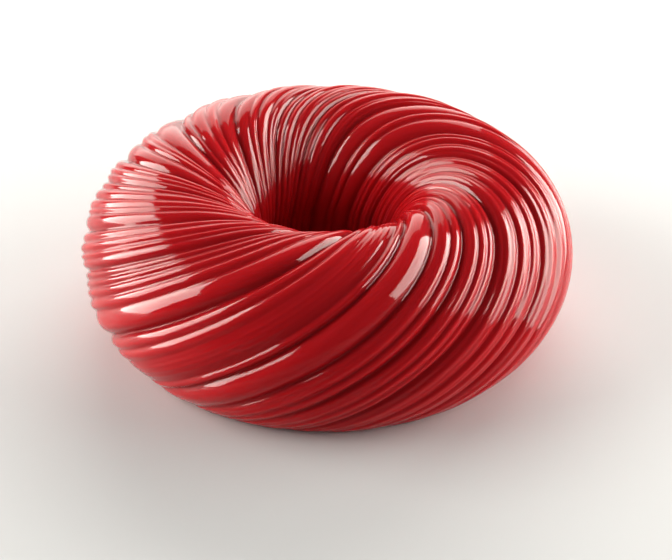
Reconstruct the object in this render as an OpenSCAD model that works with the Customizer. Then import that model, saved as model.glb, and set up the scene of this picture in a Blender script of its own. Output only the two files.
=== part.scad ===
// Glazed ring cake, turned out of a ring mould with twisted flutes. A mirror glaze covers a fluted
// mousse ring, and the mousse closes over a stack of ring-shaped layers that fills it from below.
// Millimetres. +Z is up, and the origin is on the surface it stands on, at the centre of the ring.

/* [Ring] */
// Diameter over the crests of the flutes
outer_d = 220; // [190:5:240]
// Height of the crown
height = 76; // [66:1:90]
// Diameter of the centre hole where it is narrowest
hole_d = 56; // [46:1:66]
// Diameter of the circle that the crown runs along
crown_d = 132; // [122:1:140]
// Height at which the ring is widest
widest_z = 34; // [28:1:38]
// Depth of the outer flank's arc below the widest point, which sets how far it turns in to the base
outer_drop = 43; // [40:1:60]
// Depth of the hole wall's arc below the narrowest point, which sets how far the hole flares
inner_drop = 80; // [60:1:120]

/* [Flutes] */
// Turns that a flute makes about the ring for each turn it makes about the cross-section, on the crown
twist = 0.505; // [0:0.005:0.6]
// How much slower it turns towards the hole, and faster towards the foot, for each degree from the crown
twist_slowing = 0.0009; // [0:0.0001:0.002]
// Depth of the grooves between flutes, against the depths listed below
groove_scale = 1; // [0:0.05:1.2]
// Depth of the fine grooves between the strands of a flute, for each degree that a strand is wide
strand_depth = 0.3; // [0:0.02:0.4]
// Share of their depth that the fine grooves lose between the crown and the widest point
strand_fade = 0.25; // [0:0.05:1]
// Share of their depth that all grooves lose between the widest point and the foot
foot_fade = 0.7; // [0:0.05:1]

/* [Layers] */
// Thickness of the glaze
glaze_t = 1.6; // [1:0.1:3]
// Thickness of the mousse over the layers
mousse_t = 17; // [12:0.5:20]
// Thickness of the sponge that the cake stands on
base_sponge_t = 10; // [6:0.5:12]
// Thickness of the crisp praline layer
crunch_t = 4; // [2:0.5:5]
// Thickness of the sponge that carries the fruit
insert_sponge_t = 7; // [4:0.5:8]
// Gap between the layers' round sides and the mousse's faceted wall
layer_gap = 0.4; // [0.3:0.1:1]

/* [Hidden] */
// Bundles of flutes in order round the crown: the depth of the hollow at its far side, how far across
// it the crest lies, and its flutes. A flute is the angle that it covers, how many strands it has, and
// the depth of the groove at its far side.
bundles = [
    [1.6, 0.5, [[4, 1, 1.4], [5.5, 1, 1.6], [5, 1, 1.2], [2, 1, 1.6], [7.5, 1, 1.8]]],
    [2, 0.5, [[5, 1, 1.4], [5, 1, 1.8], [3, 1, 1.2], [4.5, 1, 2]]],
    [2.4, 0.8, [[4, 1, 1.4], [3.5, 1, 1.4], [4.5, 1, 1.6], [5.5, 1, 1.8], [11.5, 1, 1.8]]],
    [2, 0.3, [[6.5, 1, 1.8], [5.5, 1, 1], [12, 5, 0.9]]],
    [2.2, 0.55, [[4, 1, 3.4], [14, 1, 1.6]]],
    [1.6, 0.5, [[8, 2, 2], [5, 1, 2.2]]],
    [2.6, 0.5, [[7, 2, 1.8], [3.5, 1, 1.6], [4.5, 1, 2.2]]],
    [2, 0.5, [[10.5, 3, 2.2], [6.5, 2, 2], [8.5, 2, 2.2]]],
    [1.8, 0.5, [[11.5, 3, 2.4], [11.5, 2, 1.6]]],
    [2, 0.5, [[13.5, 1, 1.8], [6, 1, 2], [13.5, 1, 2]]],
    [1.6, 0.5, [[9.5, 3, 1.8], [6.5, 1, 1.8], [5, 1, 2.2]]],
    [2, 0.5, [[4.5, 1, 1.6], [7.5, 2, 1.8], [5, 1, 2.2], [5, 1, 1.6]]],
    [2.2, 0.5, [[6.5, 2, 1.6], [6.5, 1, 2], [4.5, 1, 1.2], [8, 1, 1.8]]],
    [2.6, 0.5, [[9.5, 1, 2], [5.5, 1, 1.6], [7.5, 1, 1.6], [4.5, 1, 1.8]]],
    [1.8, 0.5, [[12.5, 1, 2], [8, 2, 1.8], [9.5, 1, 1.8]]],
    [1.6, 0.5, [[6, 1, 1.6], [3, 1, 1.4], [3.5, 1, 1.6]]]
];
// Angle at which the first flute starts on the crown
first_flute_at = 199;
// How flat the crests of flutes and strands, and of bundles, are: the power of the distance from the
// crest that the depth grows with
crest_power = 2.5;
bundle_power = 2;
// How abruptly the strands stop at the two sides of their flute
strand_end_power = 6;
// Strands wider than this get points halfway down their sides as well
wide_strand = 7;
// Angles about the cross-section where the flank and the hole wall reach the base
base_at = -asin(widest_z / outer_drop);
hole_base_at = 180 + asin(widest_z / inner_drop);
// Steps in which the surface follows the flank below its widest point, and the hole wall
flank_steps = 3;
arch_steps = 12;
hole_steps = 2;
stations = [
    for (i = [0 : flank_steps - 1]) base_at * (1 - i / flank_steps),
    for (i = [0 : arch_steps - 1]) 180 * i / arch_steps,
    for (i = [0 : hole_steps]) 180 + (hole_base_at - 180) * i / hole_steps
];
// Steps along each curved side of a layer
layer_steps = 8;

glaze_colour = [0.66, 0.03, 0.05];
mousse_colour = [0.95, 0.80, 0.78];
fruit_colour = [0.72, 0.06, 0.16];
sponge_colour = [0.88, 0.72, 0.46];
crunch_colour = [0.62, 0.42, 0.22];
base_colour = [0.47, 0.29, 0.17];

// The cross-section at an angle t about it, from 0 on the widest point over 90 on the crown to 180
// in the hole, at a depth below the outer surface.
function half_width(t) = cos(t) > 0 ? (outer_d - crown_d) / 2 : (crown_d - hole_d) / 2;
function ring_r(t, depth) = crown_d / 2 + (half_width(t) - depth) * cos(t);
function ring_z(t, depth) =
    widest_z + sin(t) * (sin(t) > 0 ? height - widest_z - depth : cos(t) > 0 ? outer_drop : inner_drop);

// How far a flute has turned about the ring at t, from where it crosses the crown
function turned(t) = twist * (t - 90) * (1 - twist_slowing * (t - 90));

// How deep the grooves are at t, as a share of their depth on the widest circle: they get shallower
// as the flutes close up towards the hole, and fade towards the foot of the flank. The fine grooves
// fade on the flank as well.
function groove_share(t) =
    sqrt(ring_r(t, 0) / (outer_d / 2)) * (t < 0 ? 1 - foot_fade * pow(t / base_at, 2) : 1);
function strand_share(t) = groove_share(t) * (t < 90 ? 1 - strand_fade * cos(t) : 1);

// How deep a side has sunk below its crest, at a fraction v from one hollow to the next
function sunk(v, crest, power, near, far) =
    v < crest ? near * pow(1 - v / crest, power) : far * pow((v - crest) / (1 - crest), power);
function total(widths, count) = count == 0 ? 0 : total(widths, count - 1) + widths[count - 1];
function widths_of(bundle) = [for (flute = bundle[2]) flute[0]];
function width_of(bundle) = total(widths_of(bundle), len(bundle[2]));

// Columns follow lines over the whole ring, a groove and a crest of each strand at least:
// [angle on the crown, depth of the bundle's and the flute's sides, depth of the strand's side].
bundle_widths = [for (bundle = bundles) width_of(bundle)];
columns = [
    for (b = [0 : len(bundles) - 1])
        let (
            bundle = bundles[b],
            last_bundle = bundles[(b + len(bundles) - 1) % len(bundles)],
            widths = widths_of(bundle),
            bundle_at = first_flute_at + total(bundle_widths, b)
        )
            for (f = [0 : len(widths) - 1])
                let (
                    strands = bundle[2][f][1],
                    strand_width = widths[f] / strands,
                    near = f == 0 ? last_bundle[2][len(last_bundle[2]) - 1][2] : bundle[2][f - 1][2],
                    far = bundle[2][f][2],
                    steps = strands * (strand_width > wide_strand ? 4 : 2)
                )
                    for (i = [0 : steps - 1])
                        let (
                            v = i / steps,
                            across = total(widths, f) + widths[f] * v,
                            strand_v = v * strands - floor(v * strands),
                            strand_side = strand_depth * strand_width
                                * sunk(strand_v, 0.5, crest_power, 1, 1)
                        ) [
                            bundle_at + across,
                            groove_scale * sunk(v, 0.5, crest_power, near, far)
                                + sunk(across / bundle_widths[b], bundle[1], bundle_power,
                                       last_bundle[0], bundle[0]),
                            strands == 1 ? 0 : strand_side * (1 - pow(abs(2 * v - 1), strand_end_power))
                        ]
];

// One ring of points at station t, at an inset below the crests
function ring_points(t, inset, fluted) = [
    for (c = columns)
        let (
            depth = inset + (fluted ? c[1] * groove_share(t) + c[2] * strand_share(t) : 0),
            angle = c[0] + turned(t),
            r = ring_r(t, depth)
        ) [r * cos(angle), r * sin(angle), ring_z(t, depth)]
];

// A shell that follows the fluted ring, open at its base, from one inset to a deeper one
module ring_shell(outer_inset, inner_inset, inside_fluted) {
    count = len(columns);
    last = len(stations) - 1;
    rows = [
        for (i = [0 : last]) ring_points(stations[i], outer_inset, true),
        for (i = [0 : last]) ring_points(stations[last - i], inner_inset, inside_fluted)
    ];
    points = [for (row = rows) for (p = row) p];
    faces = [
        for (i = [0 : len(rows) - 1])
            for (j = [0 : count - 1])
                let (
                    this_row = i * count,
                    next_row = ((i + 1) % len(rows)) * count,
                    next = (j + 1) % count,
                    inward = i < last
                )
                    each inward
                        ? [[this_row + j, next_row + j, this_row + next],
                           [this_row + next, next_row + j, next_row + next]]
                        : [[this_row + j, next_row + j, next_row + next],
                           [this_row + j, next_row + next, this_row + next]]
    ];
    polyhedron(points, faces);
}

// The side of a layer from one angle about the cross-section to another
function side_points(from, to, first_step = 0) = [
    for (i = [first_step : layer_steps])
        let (
            t = from + (to - from) * i / layer_steps,
            inset = glaze_t + mousse_t + layer_gap
        ) [ring_r(t, inset), ring_z(t, inset)]
];

// A ring-shaped layer that fills the mousse from side to side between two heights. A domed layer
// follows the mousse over the crown.
module layer(low, high, domed = false) {
    flank_low = asin((low - widest_z) / outer_drop);
    flank_high = domed ? 90 : asin((high - widest_z) / outer_drop);
    hole_low = 180 + asin((widest_z - low) / inner_drop);
    hole_high = domed ? 90 : 180 + asin((widest_z - high) / inner_drop);
    // A dome's two sides meet on the crown, so the second one leaves out that point
    rotate_extrude($fn = 180)
        polygon(concat(side_points(flank_low, flank_high), side_points(hole_high, hole_low, domed ? 1 : 0)));
}

module glaze_coat() {
    color(glaze_colour) ring_shell(0, glaze_t, true);
}

module mousse_body() {
    color(mousse_colour) ring_shell(glaze_t, glaze_t + mousse_t, false);
}

module base_sponge() {
    color(base_colour) layer(0, base_sponge_t);
}

module crunch_layer() {
    color(crunch_colour) layer(base_sponge_t, base_sponge_t + crunch_t);
}

module insert_sponge() {
    low = base_sponge_t + crunch_t;
    color(sponge_colour) layer(low, low + insert_sponge_t);
}

module fruit_insert() {
    color(fruit_colour) layer(base_sponge_t + crunch_t + insert_sponge_t, height, domed = true);
}

glaze_coat();
mousse_body();
fruit_insert();
insert_sponge();
crunch_layer();
base_sponge();
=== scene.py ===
"""Looks of the glazed ring cake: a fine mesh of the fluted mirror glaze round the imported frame, a
procedural material for every piece, a pale floor, soft light and the camera. Metres, +Z up."""
import math

import bpy
import numpy as np
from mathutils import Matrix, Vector


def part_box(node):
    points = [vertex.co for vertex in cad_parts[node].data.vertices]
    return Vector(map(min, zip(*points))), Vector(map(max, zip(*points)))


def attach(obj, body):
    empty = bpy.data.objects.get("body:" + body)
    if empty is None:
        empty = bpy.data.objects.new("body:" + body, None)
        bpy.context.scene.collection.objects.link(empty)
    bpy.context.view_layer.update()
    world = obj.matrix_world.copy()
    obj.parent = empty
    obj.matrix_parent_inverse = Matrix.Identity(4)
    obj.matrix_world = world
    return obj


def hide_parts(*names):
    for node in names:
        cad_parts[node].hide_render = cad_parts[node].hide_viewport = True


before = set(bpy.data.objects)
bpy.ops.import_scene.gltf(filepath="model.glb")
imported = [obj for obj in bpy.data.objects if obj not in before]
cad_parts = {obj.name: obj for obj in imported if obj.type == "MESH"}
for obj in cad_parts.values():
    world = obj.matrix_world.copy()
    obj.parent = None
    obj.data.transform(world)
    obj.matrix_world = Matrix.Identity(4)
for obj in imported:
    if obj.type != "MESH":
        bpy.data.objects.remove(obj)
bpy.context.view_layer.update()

MM = 0.001

# The fluted ring's cross-section. The outer radius and the height come from the frame, and the rest
# repeats the design.
GLAZE_LOW, GLAZE_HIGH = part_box("glaze_coat")
OUTER_R = (GLAZE_HIGH[0] - GLAZE_LOW[0] + GLAZE_HIGH[1] - GLAZE_LOW[1]) / 4
HEIGHT = GLAZE_HIGH[2]
HOLE_R = 28 * MM         # where the hole is narrowest
CROWN_R = 66 * MM        # of the circle that the crown runs along
WIDEST_Z = 34 * MM       # where the ring is widest
OUTER_DROP = 43 * MM     # depth of the outer flank's arc below the widest point
INNER_DROP = 80 * MM     # depth of the hole wall's arc below the narrowest point
GLAZE_T = 1.6 * MM
BASE_AT = -math.asin(WIDEST_Z / OUTER_DROP)
HOLE_BASE_AT = math.pi + math.asin(WIDEST_Z / INNER_DROP)

# How the flutes wind, and how deep their grooves are, as in the design.
TWIST = 0.505            # turns about the ring for each turn about the cross-section, on the crown
TWIST_SLOWING = 0.0009   # for each degree from the crown
FIRST_FLUTE_AT = 199     # degrees, on the crown
STRAND_DEPTH = 0.3 * MM  # of the grooves between strands, for each degree of a strand's width
STRAND_FADE = 0.25       # share of its depth that a strand's groove loses from crown to widest point
FOOT_FADE = 0.7          # share of its depth that each groove loses from widest point to foot
CREST_POWER = 2.5        # power of the distance from a flute's or a strand's crest that it sinks with
BUNDLE_POWER = 2         # the same for a bundle's crest
STRAND_END_POWER = 6     # how suddenly strands die out at the sides of their flute

# Bundles of flutes in order round the crown, as in the design: the depth in millimetres of the hollow
# at its far side, how far across it the crest lies, and its flutes. A flute is the degrees that it
# covers, how many strands it has, and the depth in millimetres of the groove at its far side.
BUNDLES = [
    (1.6, 0.5, [(4, 1, 1.4), (5.5, 1, 1.6), (5, 1, 1.2), (2, 1, 1.6), (7.5, 1, 1.8)]),
    (2, 0.5, [(5, 1, 1.4), (5, 1, 1.8), (3, 1, 1.2), (4.5, 1, 2)]),
    (2.4, 0.8, [(4, 1, 1.4), (3.5, 1, 1.4), (4.5, 1, 1.6), (5.5, 1, 1.8), (11.5, 1, 1.8)]),
    (2, 0.3, [(6.5, 1, 1.8), (5.5, 1, 1), (12, 5, 0.9)]),
    (2.2, 0.55, [(4, 1, 3.4), (14, 1, 1.6)]),
    (1.6, 0.5, [(8, 2, 2), (5, 1, 2.2)]),
    (2.6, 0.5, [(7, 2, 1.8), (3.5, 1, 1.6), (4.5, 1, 2.2)]),
    (2, 0.5, [(10.5, 3, 2.2), (6.5, 2, 2), (8.5, 2, 2.2)]),
    (1.8, 0.5, [(11.5, 3, 2.4), (11.5, 2, 1.6)]),
    (2, 0.5, [(13.5, 1, 1.8), (6, 1, 2), (13.5, 1, 2)]),
    (1.6, 0.5, [(9.5, 3, 1.8), (6.5, 1, 1.8), (5, 1, 2.2)]),
    (2, 0.5, [(4.5, 1, 1.6), (7.5, 2, 1.8), (5, 1, 2.2), (5, 1, 1.6)]),
    (2.2, 0.5, [(6.5, 2, 1.6), (6.5, 1, 2), (4.5, 1, 1.2), (8, 1, 1.8)]),
    (2.6, 0.5, [(9.5, 1, 2), (5.5, 1, 1.6), (7.5, 1, 1.6), (4.5, 1, 1.8)]),
    (1.8, 0.5, [(12.5, 1, 2), (8, 2, 1.8), (9.5, 1, 1.8)]),
    (1.6, 0.5, [(6, 1, 1.6), (3, 1, 1.4), (3.5, 1, 1.6)]),
]

# The fine mesh of the glaze.
STEPS_PER_DEGREE = 20    # of the profile that the mesh is sampled from
GROOVE_ROUNDING = 0.5    # degrees over which liquid glaze rounds the bottom of a groove
COLUMNS_PER_DEGREE = 2.2
ROWS = 108               # from the foot over the crown into the hole
INNER_ROWS = 16          # of the side that touches the mousse

DEEPEST_PAINTED_SHADE = 3.0      # depth in millimetres at which a groove reaches the darkest painted shade

# Inner layers: node, material, colour, how dark its dark crumbs are against the colour, roughness,
# how many grains lie across the piece, and how strong their relief is.
FOODS = [
    ("mousse_body", "mousse", (0.80, 0.48, 0.44), 0.85, 0.6, 60, 0.1),
    ("fruit_insert", "fruit_jelly", (0.42, 0.015, 0.05), 0.6, 0.2, 60, 0.1),
    ("insert_sponge", "pale_sponge", (0.72, 0.50, 0.22), 0.6, 0.9, 80, 0.9),
    ("crunch_layer", "praline_crunch", (0.34, 0.16, 0.06), 0.4, 0.7, 110, 1.0),
    ("base_sponge", "cocoa_sponge", (0.18, 0.075, 0.03), 0.45, 0.9, 70, 0.9),
]
DARK_CRUMBS_BELOW = 0.35  # of the noise, which runs from 0 to 1
PALE_CRUMBS_ABOVE = 0.62

FLOOR_HALF = 3.0

# Softboxes: name, degrees round from +X towards +Y, distance from the ring's axis, height, width,
# how tall, radiance, and what sees it. The ones seen in reflections draw the highlights, and the ones
# seen by matt surfaces light the glaze's red and the floor.
SOFTBOXES = [
    ("softbox_left", 168, 0.95, 0.42, 0.95, 0.9, 29, "reflections"),
    ("softbox_back", 100, 1.25, 0.45, 1.3, 0.95, 3.5, "reflections"),
    ("softbox_right", 9, 0.98, 0.55, 1.5, 0.9, 29, "reflections"),
    ("key_left", 184, 1.4, 0.6, 1.2, 1.2, 7.2, "matt"),
    ("fill_back", 78, 1.25, 0.6, 1.5, 0.95, 6.2, "matt"),
    ("fill_right", 5, 1.4, 0.37, 1.5, 0.9, 7.6, "matt"),
]
WARM_WHITE = (1.0, 0.945, 0.88)
AIR_LIGHT = 0.12         # from all round

CAMERA_TARGET = Vector((0.0041, 0, 0.0153))
CAMERA_ELEVATION = 33.0
CAMERA_DISTANCE = 0.814
CAMERA_LENS = 95.9       # millimetres, as is the sensor
CAMERA_SENSOR = 36


def section(angle, depth):
    """Radius and height of the cross-section at an angle about it, at a depth below the crests. It
    runs from 0 on the outside over the crown at a quarter turn to the hole at half a turn."""
    across, up = np.cos(angle), np.sin(angle)
    half = np.where(across > 0, OUTER_R - CROWN_R, CROWN_R - HOLE_R)
    drop = np.where(across > 0, OUTER_DROP, INNER_DROP)
    rise = np.where(up > 0, HEIGHT - WIDEST_Z - depth, drop)
    return CROWN_R + (half - depth) * across, WIDEST_Z + rise * up


def rounded(profile):
    """A profile round the ring with its corners rounded, as liquid glaze rounds them."""
    waves = np.fft.rfftfreq(len(profile), 1 / STEPS_PER_DEGREE)
    soften = np.exp(-2 * (math.pi * waves * GROOVE_ROUNDING) ** 2)
    return np.fft.irfft(np.fft.rfft(profile) * soften, len(profile))


def sunk(across, crest, power, near, far):
    """How deep a side has sunk below its crest, at a fraction across from one hollow to the next."""
    from_crest = np.where(across < crest, 1 - across / crest, (across - crest) / (1 - crest))
    return np.where(across < crest, near, far) * from_crest**power


def strand_grooves(across, width, strands):
    """Depth of the fine grooves across a flute, which has none if it is a single strand."""
    depth = STRAND_DEPTH * width / strands if strands > 1 else 0
    dying_out = 1 - np.abs(2 * across - 1) ** STRAND_END_POWER
    return depth * sunk((across * strands) % 1, 0.5, CREST_POWER, 1, 1) * dying_out


def groove_profiles():
    """Depths round the crown, on an even grid: of the sides of bundles and flutes, and of strands."""
    large, fine = [], []
    for index, (far_hollow, crest, flutes) in enumerate(BUNDLES):
        near_hollow, _, last_flutes = BUNDLES[index - 1]
        near = last_flutes[-1][2]
        steps = [round(width * STEPS_PER_DEGREE) for width, _, _ in flutes]
        across = np.arange(sum(steps)) / sum(steps)
        swell = sunk(across, crest, BUNDLE_POWER, near_hollow, far_hollow)
        sides = []
        for count, (width, strands, far) in zip(steps, flutes):
            across = np.arange(count) / count
            sides.append(sunk(across, 0.5, CREST_POWER, near, far))
            fine.append(strand_grooves(across, width, strands))
            near = far
        large.append(swell + np.concatenate(sides))
    return rounded(np.concatenate(large)) * MM, rounded(np.concatenate(fine))


def glaze_rows(rows, inset):
    """Points of the glaze surface, row by row from the foot over the crown into the hole, and how
    deep each lies in a groove."""
    angle = np.linspace(BASE_AT, HOLE_BASE_AT, rows)[:, None]
    count = round(360 * COLUMNS_PER_DEGREE)
    turn = np.arange(count) * 360 / count
    grid = np.arange(360 * STEPS_PER_DEGREE + 1) / STEPS_PER_DEGREE
    closed = [np.append(profile, profile[0]) for profile in groove_profiles()]
    large, fine = [np.interp(turn, grid, profile)[None, :] for profile in closed]
    bare_r, _ = section(angle, 0)
    foot_share = np.where(angle < 0, 1 - FOOT_FADE * (angle / BASE_AT) ** 2, 1)
    groove_share = np.sqrt(bare_r / OUTER_R) * foot_share
    strand_share = groove_share * np.where(angle < math.pi / 2, 1 - STRAND_FADE * np.cos(angle), 1)
    depth = large * groove_share + fine * strand_share
    r, z = section(angle, inset + depth)
    past_crown = np.degrees(angle) - 90
    turned = TWIST * past_crown * (1 - TWIST_SLOWING * past_crown)
    around = np.radians(FIRST_FLUTE_AT + turn[None, :] + turned)
    points = np.stack([r * np.cos(around), r * np.sin(around), np.broadcast_to(z, r.shape)], -1)
    return points, depth * np.sqrt(OUTER_R / bare_r)


def glaze_coat():
    """The glaze as one closed skin: its outer side, and GLAZE_T below it the side on the mousse. Each
    point carries how deep it lies in a groove, in millimetres."""
    outer, outer_depth = glaze_rows(ROWS, 0)
    inner, inner_depth = glaze_rows(INNER_ROWS, GLAZE_T)
    points = np.concatenate([outer, inner[::-1]])
    depth = np.concatenate([outer_depth, inner_depth[::-1]])
    rows, columns, _ = points.shape
    row, column = np.meshgrid(np.arange(rows), np.arange(columns), indexing="ij")
    this_row, next_row = row * columns, (row + 1) % rows * columns
    next_column = (column + 1) % columns
    corners = [this_row + column, this_row + next_column, next_row + next_column, next_row + column]
    faces = np.stack(corners, -1).reshape(-1, 4)
    mesh = bpy.data.meshes.new("glaze_coat_fine")
    mesh.from_pydata(points.reshape(-1, 3).tolist(), [], faces.tolist())
    # The groove depth also drives the shade painted into the glaze's colour.
    groove = mesh.attributes.new("groove", "FLOAT", "POINT")
    groove.data.foreach_set("value", (depth.ravel() / MM).astype(np.float32))
    mesh.shade_smooth()
    piece = bpy.data.objects.new("glaze_coat_fine", mesh)
    bpy.context.scene.collection.objects.link(piece)
    return piece


def new_material(name):
    """A material, its nodes, its links and its shader."""
    material = bpy.data.materials.new(name)
    material.use_nodes = True
    nodes = material.node_tree.nodes
    return material, nodes, material.node_tree.links, nodes["Principled BSDF"]


def glaze_material():
    """Wet red glaze that lets a little light through, with shade painted into its red: lighter on the
    crests and darker the deeper it lies in a groove.
    """
    material, nodes, links, shader = new_material("mirror_glaze")
    groove = nodes.new("ShaderNodeAttribute")
    groove.attribute_name = "groove"
    deep = nodes.new("ShaderNodeMapRange")
    deep.inputs["From Max"].default_value = DEEPEST_PAINTED_SHADE
    # Painted shade: the red runs from the lighter crest colour to the darker colour deep in a groove.
    ramp = nodes.new("ShaderNodeValToRGB")
    ramp.color_ramp.elements[0].color = (0.43, 0.0085, 0.0125, 1)
    ramp.color_ramp.elements[1].color = (0.30, 0.0060, 0.0090, 1)
    links.new(groove.outputs["Fac"], deep.inputs["Value"])
    links.new(deep.outputs["Result"], ramp.inputs["Fac"])
    links.new(ramp.outputs["Color"], shader.inputs["Base Color"])
    shader.inputs["Roughness"].default_value = 0.07
    shader.inputs["IOR"].default_value = 1.4
    shader.inputs["Specular IOR Level"].default_value = 0.15
    shader.inputs["Subsurface Weight"].default_value = 0.5
    shader.inputs["Subsurface Radius"].default_value = (1.0, 0.2, 0.12)
    shader.inputs["Subsurface Scale"].default_value = 5 * MM
    return material


def plain_food_material(name, colour, dark_share, roughness, grain, bump):
    """A food with a grain of darker and paler crumbs, and a relief that follows it."""
    material, nodes, links, shader = new_material(name)
    noise = nodes.new("ShaderNodeTexNoise")
    noise.inputs["Scale"].default_value = grain
    noise.inputs["Detail"].default_value = 6
    ramp = nodes.new("ShaderNodeValToRGB")
    ramp.color_ramp.elements[0].position = DARK_CRUMBS_BELOW
    ramp.color_ramp.elements[0].color = (*[c * dark_share for c in colour], 1)
    ramp.color_ramp.elements[1].position = PALE_CRUMBS_ABOVE
    ramp.color_ramp.elements[1].color = (*colour, 1)
    relief = nodes.new("ShaderNodeBump")
    relief.inputs["Strength"].default_value = bump
    relief.inputs["Distance"].default_value = MM
    links.new(noise.outputs["Fac"], ramp.inputs["Fac"])
    links.new(ramp.outputs["Color"], shader.inputs["Base Color"])
    links.new(noise.outputs["Fac"], relief.inputs["Height"])
    links.new(relief.outputs["Normal"], shader.inputs["Normal"])
    shader.inputs["Roughness"].default_value = roughness
    return material


def paint(obj, material):
    obj.data.materials.clear()
    obj.data.materials.append(material)


def cake():
    """The fine glaze in place of the design's, and the materials of the layers inside."""
    piece = glaze_coat()
    paint(piece, glaze_material())
    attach(piece, "root")
    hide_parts("glaze_coat")
    for node, *looks in FOODS:
        paint(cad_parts[node], plain_food_material(*looks))


def floor():
    mesh = bpy.data.meshes.new("floor")
    corners = [(-1, -1), (1, -1), (1, 1), (-1, 1)]
    mesh.from_pydata([(x * FLOOR_HALF, y * FLOOR_HALF, 0) for x, y in corners], [], [(0, 1, 2, 3)])
    plane = bpy.data.objects.new("floor", mesh)
    bpy.context.scene.collection.objects.link(plane)
    material, _, _, shader = new_material("pale_floor")
    shader.inputs["Base Color"].default_value = (0.63, 0.66, 0.67, 1)
    shader.inputs["Roughness"].default_value = 0.6
    shader.inputs["Specular IOR Level"].default_value = 0.2
    paint(plane, material)


def softbox(name, azimuth, distance, height, width, tall, radiance, seen_in):
    """An area light that faces the ring. The camera doesn't see it."""
    data = bpy.data.lights.new(name, "AREA")
    data.shape = "RECTANGLE"
    data.size, data.size_y = width, tall
    data.energy = radiance * math.pi * width * tall
    data.color = WARM_WHITE
    lamp = bpy.data.objects.new(name, data)
    turn = math.radians(azimuth)
    lamp.location = (distance * math.cos(turn), distance * math.sin(turn), height)
    facing = (Vector((0, 0, WIDEST_Z)) - lamp.location).to_track_quat("-Z", "Y")
    lamp.rotation_euler = facing.to_euler()
    lamp.visible_camera = False
    lamp.visible_diffuse = seen_in == "matt"
    lamp.visible_glossy = seen_in == "reflections"
    bpy.context.scene.collection.objects.link(lamp)


def lights():
    for box in SOFTBOXES:
        softbox(*box)
    world = bpy.data.worlds.new("studio")
    world.use_nodes = True
    background = world.node_tree.nodes["Background"]
    background.inputs["Color"].default_value = (1, 1, 1, 1)
    background.inputs["Strength"].default_value = AIR_LIGHT
    bpy.context.scene.world = world


def camera():
    elevation = math.radians(CAMERA_ELEVATION)
    back = Vector((0, -math.cos(elevation), math.sin(elevation)))
    data = bpy.data.cameras.new("camera")
    data.sensor_width = CAMERA_SENSOR
    data.lens = CAMERA_LENS
    cam = bpy.data.objects.new("camera", data)
    cam.location = CAMERA_TARGET + back * CAMERA_DISTANCE
    cam.rotation_euler = (-back).to_track_quat("-Z", "Y").to_euler()
    bpy.context.scene.collection.objects.link(cam)
    bpy.context.scene.camera = cam


cake()
floor()
lights()
camera()
bpy.context.scene.view_settings.view_transform = "Standard"
